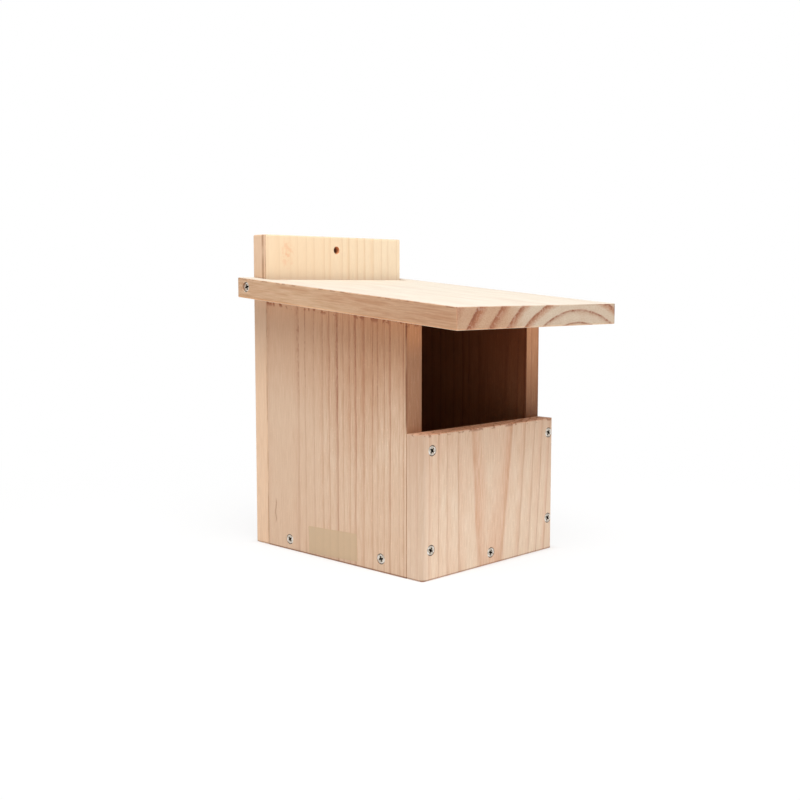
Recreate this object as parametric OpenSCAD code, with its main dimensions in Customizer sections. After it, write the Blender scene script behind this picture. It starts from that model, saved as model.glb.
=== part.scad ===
// Open-fronted nest box for small birds: six softwood boards held by countersunk wood screws.
// The roof rests on the sloping tops of the side panels and swings up on two pivot screws.
// X runs across the front, Y from the front to the wall, Z up. The origin is the middle of the
// box's footprint, roof included, on the surface it stands on. Sizes are millimetres.

/* [Boards] */
// Thickness of every board
board_t = 15; // [12:0.5:20]
// Width of the box across its front
box_w = 145; // [120:1:180]
// Depth of a side panel, from the front panel to the back board
side_d = 148; // [130:1:170]
// Height of a side panel at its front edge
side_h = 176.5; // [160:0.5:200]
// Height of the front panel, which leaves the window open above it
front_h = 100; // [80:1:115]
// How far the back board stands up above the roof
back_rise = 33.5; // [25:0.5:50]

/* [Roof] */
// Slope of the roof and of the side panels' tops, in degrees
roof_pitch = 5; // [2:0.5:10]
// How far the roof reaches in front of the front panel
roof_front = 43; // [20:1:60]
// How far the roof reaches past each side panel
roof_side = 15; // [12:0.5:20]
// Gap at the underside between the roof's notch and the back board's face, which lets the roof swing
notch_gap = 6; // [5:0.5:12]
// Gap between each of the roof's ears and the back board's edge
ear_gap = 1; // [0.5:0.1:2]
// Distance of the roof's pivot screws from the wall face
pivot_back = 9.5; // [6:0.5:9.5]
// Height of the pivot screws above the roof's underside
pivot_up = 8.5; // [6:0.5:9]

/* [Screws] */
// Length of a screw
screw_len = 40; // [35:1:45]
// Diameter of a screw's shank
shank_d = 4; // [3:0.1:4.5]
// Diameter of a screw's head
head_d = 7.6; // [6.5:0.1:8.5]
// Clearance all round a screw in its hole
screw_fit = 0.05; // [0.02:0.01:0.1]
// How far the heads lie below the wood
head_sink = 0.15; // [0:0.05:0.6]
// How far the pivot screws' heads lie below the wood
pivot_sink = 1; // [0.5:0.1:2]
// Distance of the front panel's upper screws below its top edge
front_screw_drop = 11; // [8:0.5:20]
// Height of the front panel's lower screws
front_screw_rise = 22; // [18:0.5:40]
// Height of the screws that run into the floor board
floor_screw_rise = 8.5; // [6:0.5:9.5]
// Distance of the floor screws in a side panel from its front and rear edges
floor_screw_inset = 25; // [15:1:40]
// Height of the lowest screw through the back board into a side panel
back_screw_rise = 22; // [18:1:40]
// Distance of the highest screw through the back board below the side panel's top
back_screw_drop = 24; // [18:1:40]

/* [Openings] */
// Diameter of the hanging hole
hang_d = 6; // [4:0.5:10]
// Distance of the hanging hole below the back board's top edge
hang_drop = 10.5; // [8:0.5:15]
// Diameter of the drain holes in the floor board
drain_d = 6; // [4:0.5:10]
// Distance of the drain holes from the floor board's edges
drain_inset = 35; // [30:1:42]

/* [Edges] */
// Rounding of the roof's and the front panel's edges
arris_r = 1; // [0.6:0.1:1.5]
// Slight easing of the edges that meet another board
joint_r = 0.3; // [0.2:0.05:0.4]
// Rounding of the front panel's two upright outer corners
corner_r = 4; // [2:0.5:6]
// Rounding of the back board's top and bottom edges on the wall side
back_r = 2.5; // [1:0.5:4]

/* [Label] */
// Length of the bare label on the left side panel
label_l = 52; // [40:1:60]
// Height of the label
label_h = 20; // [15:1:24]
// Thickness of the label
label_t = 0.2; // [0.1:0.05:0.5]
// Distance of the label's centre from the side panel's front edge
label_from_front = 75; // [60:1:90]
// Height of the label's centre
label_up = 12.5; // [12:0.5:30]
// Tilt of the label as it was stuck on, in degrees, front end up
label_tilt = 2; // [0:0.5:2]
// Rounding of the label's corners
label_r = 1; // [0.5:0.5:3]

/* [Hidden] */
$fn = 48;

// Planes that the boards share, from the wall forward
part_d = roof_front + 2 * board_t + side_d;
y_wall = part_d / 2;
y_back = y_wall - board_t;
y_side = y_back - side_d;
y_front = y_side - board_t;
y_roof = -part_d / 2;

// Planes across the width
x_out = box_w / 2;
x_in = x_out - board_t;
x_mid = x_out - board_t / 2;
x_roof = x_out + roof_side;

// Heights along the roof's slope: its underside at a given depth, and its thickness measured upright
function under_roof(y) = side_h + (y - y_side) * tan(roof_pitch);
roof_t_up = board_t / cos(roof_pitch);
back_h = under_roof(y_back) + roof_t_up + back_rise;

// The line that the roof turns about
y_pivot = y_wall - pivot_back;
z_pivot = under_roof(y_pivot) + pivot_up;

// Longer than any cut or extrusion needs to be
reach = 3 * (back_h + part_d);

// Shape of a screw: rim of the head, length of the point, and the cross cut in the head
head_rim = 0.3;
point_len = 5;
point_r = 0.3;
cross_span = 4.4;
cross_foot = 1.6;
cross_w = 0.95;
cross_deep = 2.2;

// How far each hand-driven screw in the front panel is off its line, towards +X and up
off_upper_left = [1.9, 0, 0];
off_upper_right = [1.1, 0, 0.3];
off_lower_left = [0.7, 0, -1.2];
off_lower_right = [1.4, 0, 1.9];
off_front_floor = [-0.7, 0, 0];

// The same for the two floor screws in the left side panel
off_left_front = [0, 0, 1];
off_left_rear = [0, 0, -0.5];

// Lines that the screws are driven along
z_front_upper = front_h - front_screw_drop;
y_floor_front = y_side + floor_screw_inset;
y_floor_rear = y_back - floor_screw_inset;
z_back_high = under_roof(y_back) - back_screw_drop;

// Screws through the back board into each side panel: name and height
back_screw_rows = [
    ["low", back_screw_rise],
    ["mid", (back_screw_rise + z_back_high) / 2],
    ["high", z_back_high],
];

// Every screw: its name, the point on the wood where it is driven, the way it goes in,
// and how deep its head is sunk
SCREWS = [
    ["front_screw_upper_left", [-x_mid, y_front, z_front_upper] + off_upper_left, "back", head_sink],
    ["front_screw_upper_right", [x_mid, y_front, z_front_upper] + off_upper_right, "back", head_sink],
    ["front_screw_lower_left", [-x_mid, y_front, front_screw_rise] + off_lower_left, "back", head_sink],
    ["front_screw_lower_right", [x_mid, y_front, front_screw_rise] + off_lower_right, "back", head_sink],
    ["front_screw_floor", [0, y_front, floor_screw_rise] + off_front_floor, "back", head_sink],
    ["left_screw_front", [-x_out, y_floor_front, floor_screw_rise] + off_left_front, "right", head_sink],
    ["left_screw_rear", [-x_out, y_floor_rear, floor_screw_rise] + off_left_rear, "right", head_sink],
    ["right_screw_front", [x_out, y_floor_front, floor_screw_rise], "left", head_sink],
    ["right_screw_rear", [x_out, y_floor_rear, floor_screw_rise], "left", head_sink],
    for (side = [-1, 1], row = back_screw_rows)
        [str("back_screw_", side < 0 ? "left_" : "right_", row[0]), [side * x_mid, y_wall, row[1]],
            "front", head_sink],
    ["back_screw_floor", [0, y_wall, floor_screw_rise], "front", head_sink],
    ["pivot_screw_left", [-x_roof, y_pivot, z_pivot], "right", pivot_sink],
    ["pivot_screw_right", [x_roof, y_pivot, z_pivot], "left", pivot_sink],
];

// The rotation that turns +Z into the way a screw is driven
function drive_angles(way) =
    way == "back" ? [-90, 0, 0] : way == "front" ? [90, 0, 0] : way == "right" ? [0, 90, 0] : [0, -90, 0];

// How far the cross of each screw in the table is turned, no two in a row alike
function cross_turn(number) = (20 + 37 * number) % 90;

// Points of an outline with each corner rounded by its own radius
function unit(v) = v / norm(v);
function arc_steps(r) = r < 0.5 ? 1 : 3 + floor(r);
function arc_turn(a, b) = b - a > 180 ? b - a - 360 : b - a < -180 ? b - a + 360 : b - a;
function arc_points(centre, r, a, turn, steps) =
    [for (k = [0:steps]) centre + r * [cos(a + turn * k / steps), sin(a + turn * k / steps)]];
function corner(before, p, after, r) =
    let (u = unit(before - p), v = unit(after - p), half = acos(u * v) / 2,
        centre = p + unit(u + v) * r / sin(half),
        from = p + u * r / tan(half) - centre, to = p + v * r / tan(half) - centre,
        a = atan2(from[1], from[0]), b = atan2(to[1], to[0]))
    r == 0 ? [p] : arc_points(centre, r, a, arc_turn(a, b), arc_steps(r));
function eased(pts, radii) =
    let (n = len(pts))
    [for (i = [0:n - 1]) each corner(pts[(i + n - 1) % n], pts[i], pts[(i + 1) % n], radii[i])];
function rectangle(low, high, radii) =
    eased([low, [high[0], low[1]], high, [low[0], high[1]]], radii);

// An outline drawn in Y and Z, made solid along X
module along_x(low, high) {
    translate([low, 0, 0]) rotate([90, 0, 90]) linear_extrude(high - low) children();
}

// An outline drawn in X and Z, made solid along Y
module along_y(low, high) {
    translate([0, high, 0]) rotate([90, 0, 0]) linear_extrude(high - low) children();
}

// Half of a screw's section, grown all round by the fit, with its head's face at z = 0
module screw_section(fit, above) {
    head_r = head_d / 2;
    shank_r = shank_d / 2;
    neck = head_rim + head_r - shank_r;
    polygon([
        [0, -above],
        [head_r + fit, -above],
        [head_r + fit, head_rim],
        [shank_r + fit, neck],
        [shank_r + fit, screw_len - point_len],
        [point_r + fit, screw_len + fit],
        [0, screw_len + fit],
    ]);
}

// The cross cut in a screw's head, narrower at its foot
module cross_recess() {
    intersection() {
        union() {
            for (turn = [0, 90])
                rotate(turn) translate([-cross_span, -cross_w / 2, -1])
                    cube([2 * cross_span, cross_w, cross_deep + 1]);
        }
        union() {
            translate([0, 0, -1]) cylinder(h = 1, r = cross_span / 2);
            cylinder(h = cross_deep, r1 = cross_span / 2, r2 = cross_foot / 2);
        }
    }
}

// Puts what is drawn at the origin where a screw of the table has its head
module at_screw(s) {
    translate(s[1]) rotate(drive_angles(s[2])) translate([0, 0, s[3]]) children();
}

// The screw of that number in the table, in its place
module wood_screw(number) {
    color([0.80, 0.79, 0.76])
        at_screw(SCREWS[number]) rotate(cross_turn(number))
            difference() {
                rotate_extrude() screw_section(0, 0);
                cross_recess();
            }
}

// The room that every screw takes in the boards it passes through
module screw_holes() {
    for (s = SCREWS)
        at_screw(s) rotate_extrude() screw_section(screw_fit, 2 * pivot_sink + 1);
}

// Upright board against the wall, as wide as the box, which carries the hanging hole
module back_board() {
    color([0.95, 0.85, 0.68])
        difference() {
            intersection() {
                along_x(-x_out, x_out)
                    polygon(rectangle([y_back, 0], [y_wall, back_h], [joint_r, back_r, back_r, arris_r]));
                along_y(y_back, y_wall)
                    polygon(rectangle([-x_out, 0], [x_out, back_h], [arris_r, arris_r, arris_r, arris_r]));
                linear_extrude(reach)
                    polygon(rectangle([-x_out, y_back], [x_out, y_wall],
                        [joint_r, joint_r, arris_r, arris_r]));
            }
            translate([0, y_wall + 1, back_h - hang_drop])
                rotate([90, 0, 0]) cylinder(h = board_t + 2, d = hang_d);
            screw_holes();
        }
}

// Side panel between the low and high planes across X, its top cut to the roof's slope
module side_panel(x_low, x_high) {
    color([0.87, 0.74, 0.62])
        difference() {
            intersection() {
                along_x(x_low, x_high)
                    polygon(eased([[y_side, 0], [y_back, 0], [y_back, under_roof(y_back)],
                        [y_side, side_h]], [joint_r, joint_r, 0, joint_r]));
                along_y(y_side, y_back)
                    polygon(rectangle([x_low, 0], [x_high, reach], [joint_r, joint_r, 0, 0]));
                linear_extrude(reach)
                    polygon(rectangle([x_low, y_side], [x_high, y_back],
                        [joint_r, joint_r, joint_r, joint_r]));
            }
            screw_holes();
        }
}

module left_side_panel() {
    side_panel(-x_out, -x_in);
}

module right_side_panel() {
    side_panel(x_in, x_out);
}

// Half-height front panel, which covers the side panels' front edges
module front_panel() {
    color([0.91, 0.78, 0.64])
        difference() {
            intersection() {
                along_x(-x_out, x_out)
                    polygon(rectangle([y_front, 0], [y_side, front_h],
                        [arris_r, joint_r, arris_r, arris_r]));
                along_y(y_front, y_side)
                    polygon(rectangle([-x_out, 0], [x_out, front_h],
                        [arris_r, arris_r, arris_r, arris_r]));
                linear_extrude(reach)
                    polygon(rectangle([-x_out, y_front], [x_out, y_side],
                        [corner_r, corner_r, joint_r, joint_r]));
            }
            screw_holes();
        }
}

// Floor inside the four walls, flush with their bottom edges, with four drain holes
module floor_board() {
    color([0.84, 0.70, 0.57])
        difference() {
            translate([-x_in, y_side, 0]) cube([2 * x_in, side_d, board_t]);
            for (x = [-1, 1] * (x_in - drain_inset), y = [y_side + drain_inset, y_back - drain_inset])
                translate([x, y, -1]) cylinder(h = board_t + 2, d = drain_d);
            screw_holes();
        }
}

// Outline of the roof seen from the side: both ends cut upright
module roof_profile() {
    polygon(eased([
        [y_roof, under_roof(y_roof)],
        [y_wall, under_roof(y_wall)],
        [y_wall, under_roof(y_wall) + roof_t_up],
        [y_roof, under_roof(y_roof) + roof_t_up],
    ], [arris_r, joint_r, arris_r, arris_r]));
}

// Sloping roof, notched at the rear so that an ear passes each side of the back board
module roof_board() {
    notch_x = x_out + ear_gap;
    color([0.98, 0.92, 0.80])
        difference() {
            intersection() {
                along_x(-x_roof, x_roof) roof_profile();
                translate([0, y_side, side_h]) rotate([roof_pitch, 0, 0])
                    along_y(-part_d, part_d)
                        polygon(rectangle([-x_roof, 0], [x_roof, board_t],
                            [arris_r, arris_r, arris_r, arris_r]));
                linear_extrude(reach)
                    polygon(rectangle([-x_roof, y_roof], [x_roof, y_wall],
                        [arris_r, arris_r, joint_r, joint_r]));
            }
            translate([0, y_back - notch_gap, under_roof(y_back - notch_gap)]) rotate([roof_pitch, 0, 0])
                translate([-notch_x, 0, -board_t]) cube([2 * notch_x, part_d, 3 * board_t]);
            screw_holes();
        }
}

// Bare label stuck on the left side panel near its bottom edge
module blank_label() {
    half = [label_l, label_h] / 2;
    color([0.84, 0.74, 0.56])
        translate([-x_out, y_side + label_from_front, label_up]) rotate([-label_tilt, 0, 0])
            along_x(-label_t, 0)
                polygon(rectangle(-half, half, [label_r, label_r, label_r, label_r]));
}

back_board();
left_side_panel();
right_side_panel();
front_panel();
floor_board();
roof_board();
blank_label();
for (i = [0:len(SCREWS) - 1]) wood_screw(i);
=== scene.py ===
# %% [markdown]
# # An open-fronted nest box in softwood
# The box is six softwood boards, a bare label and eighteen zinc-plated wood screws. The boards come
# ready cut from the imported part, so most of this lesson is about their finish: wood that is drawn in
# three dimensions, so that the lines on a face run on into the end grain, as in a sawn board.
# First the part is loaded as a fixed frame, and its size is printed.

# %% Load the part
import math
import random

import bmesh
import bpy
from mathutils import Matrix, Vector


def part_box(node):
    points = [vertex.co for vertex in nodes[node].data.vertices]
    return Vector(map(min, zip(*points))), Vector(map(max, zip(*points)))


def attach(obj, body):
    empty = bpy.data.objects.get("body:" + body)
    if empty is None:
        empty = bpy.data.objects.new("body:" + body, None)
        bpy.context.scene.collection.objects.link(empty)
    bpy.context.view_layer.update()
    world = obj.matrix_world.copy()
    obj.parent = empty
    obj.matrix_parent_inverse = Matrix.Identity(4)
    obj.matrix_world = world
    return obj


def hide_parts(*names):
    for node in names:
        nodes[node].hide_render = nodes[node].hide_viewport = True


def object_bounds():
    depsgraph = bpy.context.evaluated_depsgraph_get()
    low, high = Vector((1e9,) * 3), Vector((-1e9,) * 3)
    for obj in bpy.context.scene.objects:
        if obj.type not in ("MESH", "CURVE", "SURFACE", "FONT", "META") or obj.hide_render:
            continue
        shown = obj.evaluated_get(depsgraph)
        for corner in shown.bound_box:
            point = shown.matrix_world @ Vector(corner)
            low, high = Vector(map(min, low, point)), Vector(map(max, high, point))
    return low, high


def in_mm(lengths):
    """Lengths in metres turned into millimetres and rounded, to print."""
    return [round(length * 1000, 1) for length in lengths]


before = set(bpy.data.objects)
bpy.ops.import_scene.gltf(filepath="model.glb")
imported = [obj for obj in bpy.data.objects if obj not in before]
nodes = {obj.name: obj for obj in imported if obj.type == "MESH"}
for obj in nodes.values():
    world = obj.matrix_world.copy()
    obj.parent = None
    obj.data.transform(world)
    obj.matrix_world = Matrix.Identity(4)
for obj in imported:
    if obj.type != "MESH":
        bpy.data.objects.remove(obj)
cad_low, cad_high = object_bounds()
print("the part measures", in_mm(cad_high - cad_low), "mm")

# %% [markdown]
# ## Camera
# The photograph was taken from in front and to the left, a little above the middle of the box, with
# a short telephoto lens, so upright edges stay almost upright. The camera's place and lens were
# worked out from the box's edges, which gives the same perspective without any shift.

# %% Camera
CAMERA_PLACE = Vector((-0.6165, -0.5771, 0.2001))
CAMERA_TURN = math.radians(45.70)
CAMERA_DIP = math.radians(5.83)
LENS_MM = 50.79
FRAME_MM = 36

camera_data = bpy.data.cameras.new("camera")
camera_data.lens = LENS_MM
camera_data.sensor_width = FRAME_MM
camera = bpy.data.objects.new("camera", camera_data)
camera.location = CAMERA_PLACE
camera.rotation_euler = (math.pi / 2 - CAMERA_DIP, 0, -CAMERA_TURN)
bpy.context.scene.collection.objects.link(camera)
bpy.context.scene.camera = camera
bpy.context.scene.view_settings.view_transform = "Standard"
print("camera to box:", round((CAMERA_PLACE - (cad_low + cad_high) / 2).length, 3), "m")

# %% [markdown]
# ## Building shader nodes
# A material is a chain of nodes. A few small helpers keep the chains readable: one adds a node and
# plugs in whatever it is given, others do arithmetic, and two make and place node groups with named
# inputs and outputs, so that every board can use the same wood with its own values. Only one tree of
# nodes is built at a time, so the helpers remember it and add to it.


# %% Helpers that add nodes
class Making:
    """The one tree of nodes that is being built."""
    tree = None


def plug(socket, value):
    """Links value to the socket if it is another node's output, and otherwise sets it."""
    if isinstance(value, bpy.types.NodeSocket):
        Making.tree.links.new(value, socket)
    else:
        socket.default_value = value


def add_node(kind, inputs=(), **settings):
    """A node of that kind, laid out after the ones before it, with its inputs plugged in by name."""
    new = Making.tree.nodes.new("ShaderNode" + kind)
    new.location = (180 * len(Making.tree.nodes), 0)
    for name, value in settings.items():
        setattr(new, name, value)
    for name, value in dict(inputs).items():
        plug(new.inputs[name], value)
    return new


def calc(operation, *values):
    """The result of a Math node."""
    return add_node("Math", enumerate(values), operation=operation).outputs[0]


def vector_calc(operation, *values):
    """The result of a Vector Math node: a number for a dot product or length, and else a vector."""
    new = add_node("VectorMath", enumerate(values), operation=operation)
    return new.outputs["Value" if operation in ("DOT_PRODUCT", "LENGTH") else "Vector"]


def times(first, *others):
    """Two or more numbers multiplied together."""
    for other in others:
        first = calc("MULTIPLY", first, other)
    return first


def times_plus(first, second, third):
    """The first number times the second, plus the third."""
    return calc("MULTIPLY_ADD", first, second, third)


def one_minus(value):
    """What is left of 1, which turns a mask round."""
    return calc("SUBTRACT", 1.0, value)


def split(vector):
    """The three parts of a vector."""
    return add_node("SeparateXYZ", {0: vector}).outputs


def millimetres(start, end, direction):
    """How far it is from start to end along a direction, in millimetres."""
    step = vector_calc("SUBTRACT", end, start)
    return times(vector_calc("DOT_PRODUCT", step, direction), 1000.0)


def remap(value, low, high, to_low=0.0, to_high=1.0, smooth=True):
    """Value from low to high, turned into to_low to to_high."""
    ends = (value, low, high, to_low, to_high)
    shape = "SMOOTHSTEP" if smooth else "LINEAR"
    return add_node("MapRange", enumerate(ends), interpolation_type=shape).outputs[0]


def noise(place, scale, detail=2.0, roughness=0.5):
    """Soft noise from 0 to 1, whose grains are finer the larger the scale is."""
    return add_node("TexNoise", {
        "Vector": place, "Scale": scale, "Detail": detail, "Roughness": roughness}).outputs[0]


def noise_along(value, detail=2.0):
    """Soft noise from 0 to 1 that changes with one number."""
    noisy = add_node("TexNoise", {"W": value, "Scale": 1.0, "Detail": detail}, noise_dimensions="1D")
    return noisy.outputs[0]


def mix_colour(factor, first, second, blend="MIX"):
    """Two colours mixed by a mask."""
    sockets = {"Factor": factor, 6: first, 7: second}
    return add_node("Mix", sockets, data_type="RGBA", blend_type=blend).outputs[2]


def tint_colour(colour, tint, share=1.0):
    """The colour multiplied by a tint, by as much of it as the share says."""
    return mix_colour(share, colour, mix_colour(1.0, colour, tint, "MULTIPLY"))


def scale_colour(colour, amount):
    """The colour made that many times as light."""
    grey = add_node("CombineColor", {0: amount, 1: amount, 2: amount}).outputs[0]
    return mix_colour(1.0, colour, grey, "MULTIPLY")


print("node helpers ready")


# %% Helpers for groups and materials
def start_group(name, inputs, masks, colours=()):
    """An empty node group, and the nodes that hold its inputs and outputs. An input whose first value
    has three parts is a vector, one with four is a colour, and a plain one is a number."""
    Making.tree = tree = bpy.data.node_groups.new(name, "ShaderNodeTree")
    for socket_name, value in inputs.items():
        kind = {3: "Vector", 4: "Color"}[len(value)] if isinstance(value, tuple) else "Float"
        socket = tree.interface.new_socket(socket_name, in_out="INPUT", socket_type="NodeSocket" + kind)
        socket.default_value = value
    for socket_name in (*colours, *masks):
        kind = "Color" if socket_name in colours else "Float"
        tree.interface.new_socket(socket_name, in_out="OUTPUT", socket_type="NodeSocket" + kind)
    return tree, tree.nodes.new("NodeGroupInput").outputs, tree.nodes.new("NodeGroupOutput").inputs


def use_group(group, **values):
    """The outputs of a group placed in the tree, with its inputs set by name."""
    new = add_node("Group", node_tree=group)
    for name, value in values.items():
        plug(new.inputs[name.replace("_", " ").title()], value)
    return new.outputs


def start_material(name):
    """A new node material, and its Principled BSDF."""
    material = bpy.data.materials.new(name)
    material.use_nodes = True
    Making.tree = material.node_tree
    return material, Making.tree.nodes["Principled BSDF"]


def add_bumps(shader, height, strength, distance):
    """Fine bumps on a material, which stand that distance out where the height is 1."""
    bump = add_node("Bump", {"Height": height, "Strength": strength, "Distance": distance})
    plug(shader.inputs["Normal"], bump.outputs[0])


def finish(name, material):
    """Gives a CAD node its material, in every slot it has."""
    for slot in nodes[name].material_slots:
        slot.material = material


print("group and material helpers ready")

# %% [markdown]
# ## Growth rings
# A tree adds one ring a year: pale soft wood in spring, which reddens slowly towards a thin dark line
# of hard late wood that stops short at the outer side. A board shows the lines where its faces cut
# the rings. An image could be wrapped round the board, but its lines would break at every edge. So
# the rings are worked out in the wood itself: each point's distance from the heart of the log, in
# millimetres, divided by the width of a ring. Where a face runs almost along a ring, the same thin
# line spreads into a broad band, as it does on a real flat-sawn board.
#
# Position is the point on the board and Normal its surface's direction. Pith is the point of the
# board's face that lies straight above the heart, and Depth how far below it the heart is. Across,
# Bark and Grain are the log's own directions: along the rings, out to the bark, and up the trunk.
# Taper is how much the heart sinks for each millimetre up the trunk, First Ring is how far outside
# the face's own ring the next late wood lies, Widening makes each ring wider than the one inside it,
# and Uneven and Wander say how much the years differ and how much the lines stray.


# %% Inputs and outputs of the rings
RING_INPUTS = {
    "Position": (0, 0, 0),
    "Normal": (0, 0, 1),
    "Pith": (0, 0, 0),
    "Across": (1, 0, 0),
    "Bark": (0, -1, 0),
    "Grain": (0, 0, 1),
    "Depth": 60.0,
    "Taper": 0.0,
    "First Ring": 2.0,
    "Ring Width": 6.0,
    "Widening": 0.0,
    "Uneven": 0.8,
    "Wander": 1.0,
    "Seed": 0.0,
}
RING_MASKS = ("Late", "Flush", "End", "Edge", "Fibre", "Mottle", "Cloud", "Speck")

# The grains of each noise, in millimetres across, towards the bark and along
GRAINS = {
    "wander": (50, 50, 170),
    "ripple": (9, 9, 30),
    "fade": (7, 7, 40),
    "fibre": (0.40, 0.40, 7),
    "mottle": (0.9, 0.9, 16),
    "cloud": (10, 10, 55),
    "speck": (0.8, 0.8, 2.2),
}
WANDER_MM = 2.4
RIPPLE_MM = 0.9
SEED_STEP = 5000.0


def stretched_noise(axes, sizes, detail=2.0, roughness=0.5):
    """Noise from 0 to 1 whose grains measure so many millimetres across, towards the bark and along."""
    steps = [calc("DIVIDE", axis, size) for axis, size in zip(axes, sizes)]
    place = add_node("CombineXYZ", enumerate(steps)).outputs[0]
    return noise(place, 1.0, detail, roughness)


def season_mask(season, stops):
    """How much of something there is at each time of the year, from pairs of time and amount."""
    ramp = add_node("ValToRGB", {0: season})
    points = ramp.color_ramp.elements
    for point, (time, amount) in zip(points, (stops[0], stops[-1])):
        point.position = time
        point.color = (amount, amount, amount, 1)
    for time, amount in stops[1:-1]:
        points.new(time).color = (amount, amount, amount, 1)
    return ramp.outputs[0]


LATE_WOOD = ((0.0, 0.0), (0.68, 0.0), (0.83, 0.32), (0.91, 1.0), (0.97, 0.95), (1.0, 0.0))
RED_FLUSH = ((0.0, 0.25), (0.07, 0.0), (0.48, 0.0), (0.66, 0.45), (0.93, 1.0), (1.0, 0.25))
print("a ring darkens from", LATE_WOOD[1][0], "to", LATE_WOOD[3][0], "of its width")


# %% Growth rings
def growth_rings():
    """The node group that gives the masks of a board cut from a log."""
    group, given, result = start_group("growth rings", RING_INPUTS, RING_MASKS)
    directions = [given[name] for name in ("Across", "Bark", "Grain")]
    across, bark, grain = [millimetres(given["Pith"], given["Position"], way) for way in directions]

    # The seed moves the noises far along the grain, so that no two boards are alike
    axes = (across, bark, times_plus(given["Seed"], SEED_STEP, grain))
    wander, ripple = (calc("SUBTRACT", stretched_noise(axes, GRAINS[name]), 0.5)
                      for name in ("wander", "ripple"))
    stray = times_plus(ripple, RIPPLE_MM, times(wander, WANDER_MM))

    # Distance from the heart
    above = calc("ADD", bark, times_plus(given["Taper"], grain, given["Depth"]))
    squares = calc("ADD", times(across, across), times(above, above))
    radius = times_plus(stray, given["Wander"], calc("SQRT", squares))

    # Which year this is, with wide and narrow years, and how far through it
    outward = calc("SUBTRACT", radius, calc("ADD", given["Depth"], given["First Ring"]))
    growth = times(outward, given["Widening"], 4.0)
    growth = times_plus(given["Ring Width"], given["Ring Width"], growth)
    pace = calc("ADD", given["Ring Width"], calc("SQRT", calc("MAXIMUM", growth, 1.0)))
    steady = calc("DIVIDE", times(outward, 2.0), pace)
    weather = noise_along(times_plus(steady, 0.45, given["Seed"]), 1.0)
    years = times_plus(calc("SUBTRACT", weather, 0.5), given["Uneven"], steady)
    year = times_plus(given["Seed"], 100.0, calc("FLOOR", years))
    season = calc("FRACT", years)

    # Some years leave a strong line and some a red flush, and both come and go along the grain
    vigour = add_node("TexWhiteNoise", {"W": year}, noise_dimensions="1D").outputs[0]
    other_year = calc("ADD", year, 0.5)
    warmth = add_node("TexWhiteNoise", {"W": other_year}, noise_dimensions="1D").outputs[0]
    fade = remap(stretched_noise(axes, GRAINS["fade"]), 0.3, 0.7, 0.55, 0.95)
    late = times(season_mask(season, LATE_WOOD), remap(vigour, 0.0, 1.0, 0.40, 1.0), fade)
    plug(result["Late"], late)
    flush = times(season_mask(season, RED_FLUSH), remap(warmth, 0.0, 1.0, 0.15, 1.0))

    # End grain looks along the trunk, and a board's edges look along its rings
    for name, direction in (("End", "Grain"), ("Edge", "Across")):
        facing = calc("ABSOLUTE", vector_calc("DOT_PRODUCT", given["Normal"], given[direction]))
        plug(result[name], remap(facing, 0.45, 0.85))

    # Fine fibres, mottle, soft clouds of colour, and specks where fibres stand up
    fibre = stretched_noise(axes, GRAINS["fibre"], 3.0, 0.65)
    plug(result["Fibre"], remap(fibre, 0.25, 0.75, smooth=False))
    mottle = stretched_noise(axes, GRAINS["mottle"], 3.0, 0.6)
    plug(result["Mottle"], remap(mottle, 0.3, 0.7, smooth=False))
    plug(result["Flush"], times(flush, remap(mottle, 0.3, 0.7, 1.25, 0.65)))
    cloud = stretched_noise(axes, GRAINS["cloud"])
    plug(result["Cloud"], remap(cloud, 0.3, 0.7, smooth=False))
    speck = stretched_noise(axes, GRAINS["speck"], 1.0)
    plug(result["Speck"], remap(speck, 0.62, 0.74))
    return group


RINGS = growth_rings()
print("growth rings:", len(RINGS.nodes), "nodes")

# %% [markdown]
# ## Softwood colour
# The ring masks become a finish here. Spring wood, late wood and the red flush each have a colour,
# and fibres and clouds lighten and darken them a little. Sawn edges and end grain drink in light, so
# each has a tint of its own, and rings are stronger in the end grain. The same group gives the
# roughness and the height of the wood, whose late lines stand up after planing.


# %% Softwood finish
WOOD_INPUTS = {
    **dict.fromkeys(RING_MASKS, 0.5),
    "Spring": (0.78, 0.58, 0.42, 1),
    "Summer": (0.50, 0.28, 0.17, 1),
    "Blush": (0.70, 0.44, 0.29, 1),
    "Edge Tint": (0.90, 0.85, 0.80, 1),
    "End Tint": (0.80, 0.70, 0.62, 1),
    "Contrast": 0.6,
    "End Contrast": 0.9,
    "Redness": 0.6,
    "End Redness": 1.0,
    "Texture": 0.5,
}
MOTTLE_TINT = (0.82, 0.73, 0.64, 1)


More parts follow.
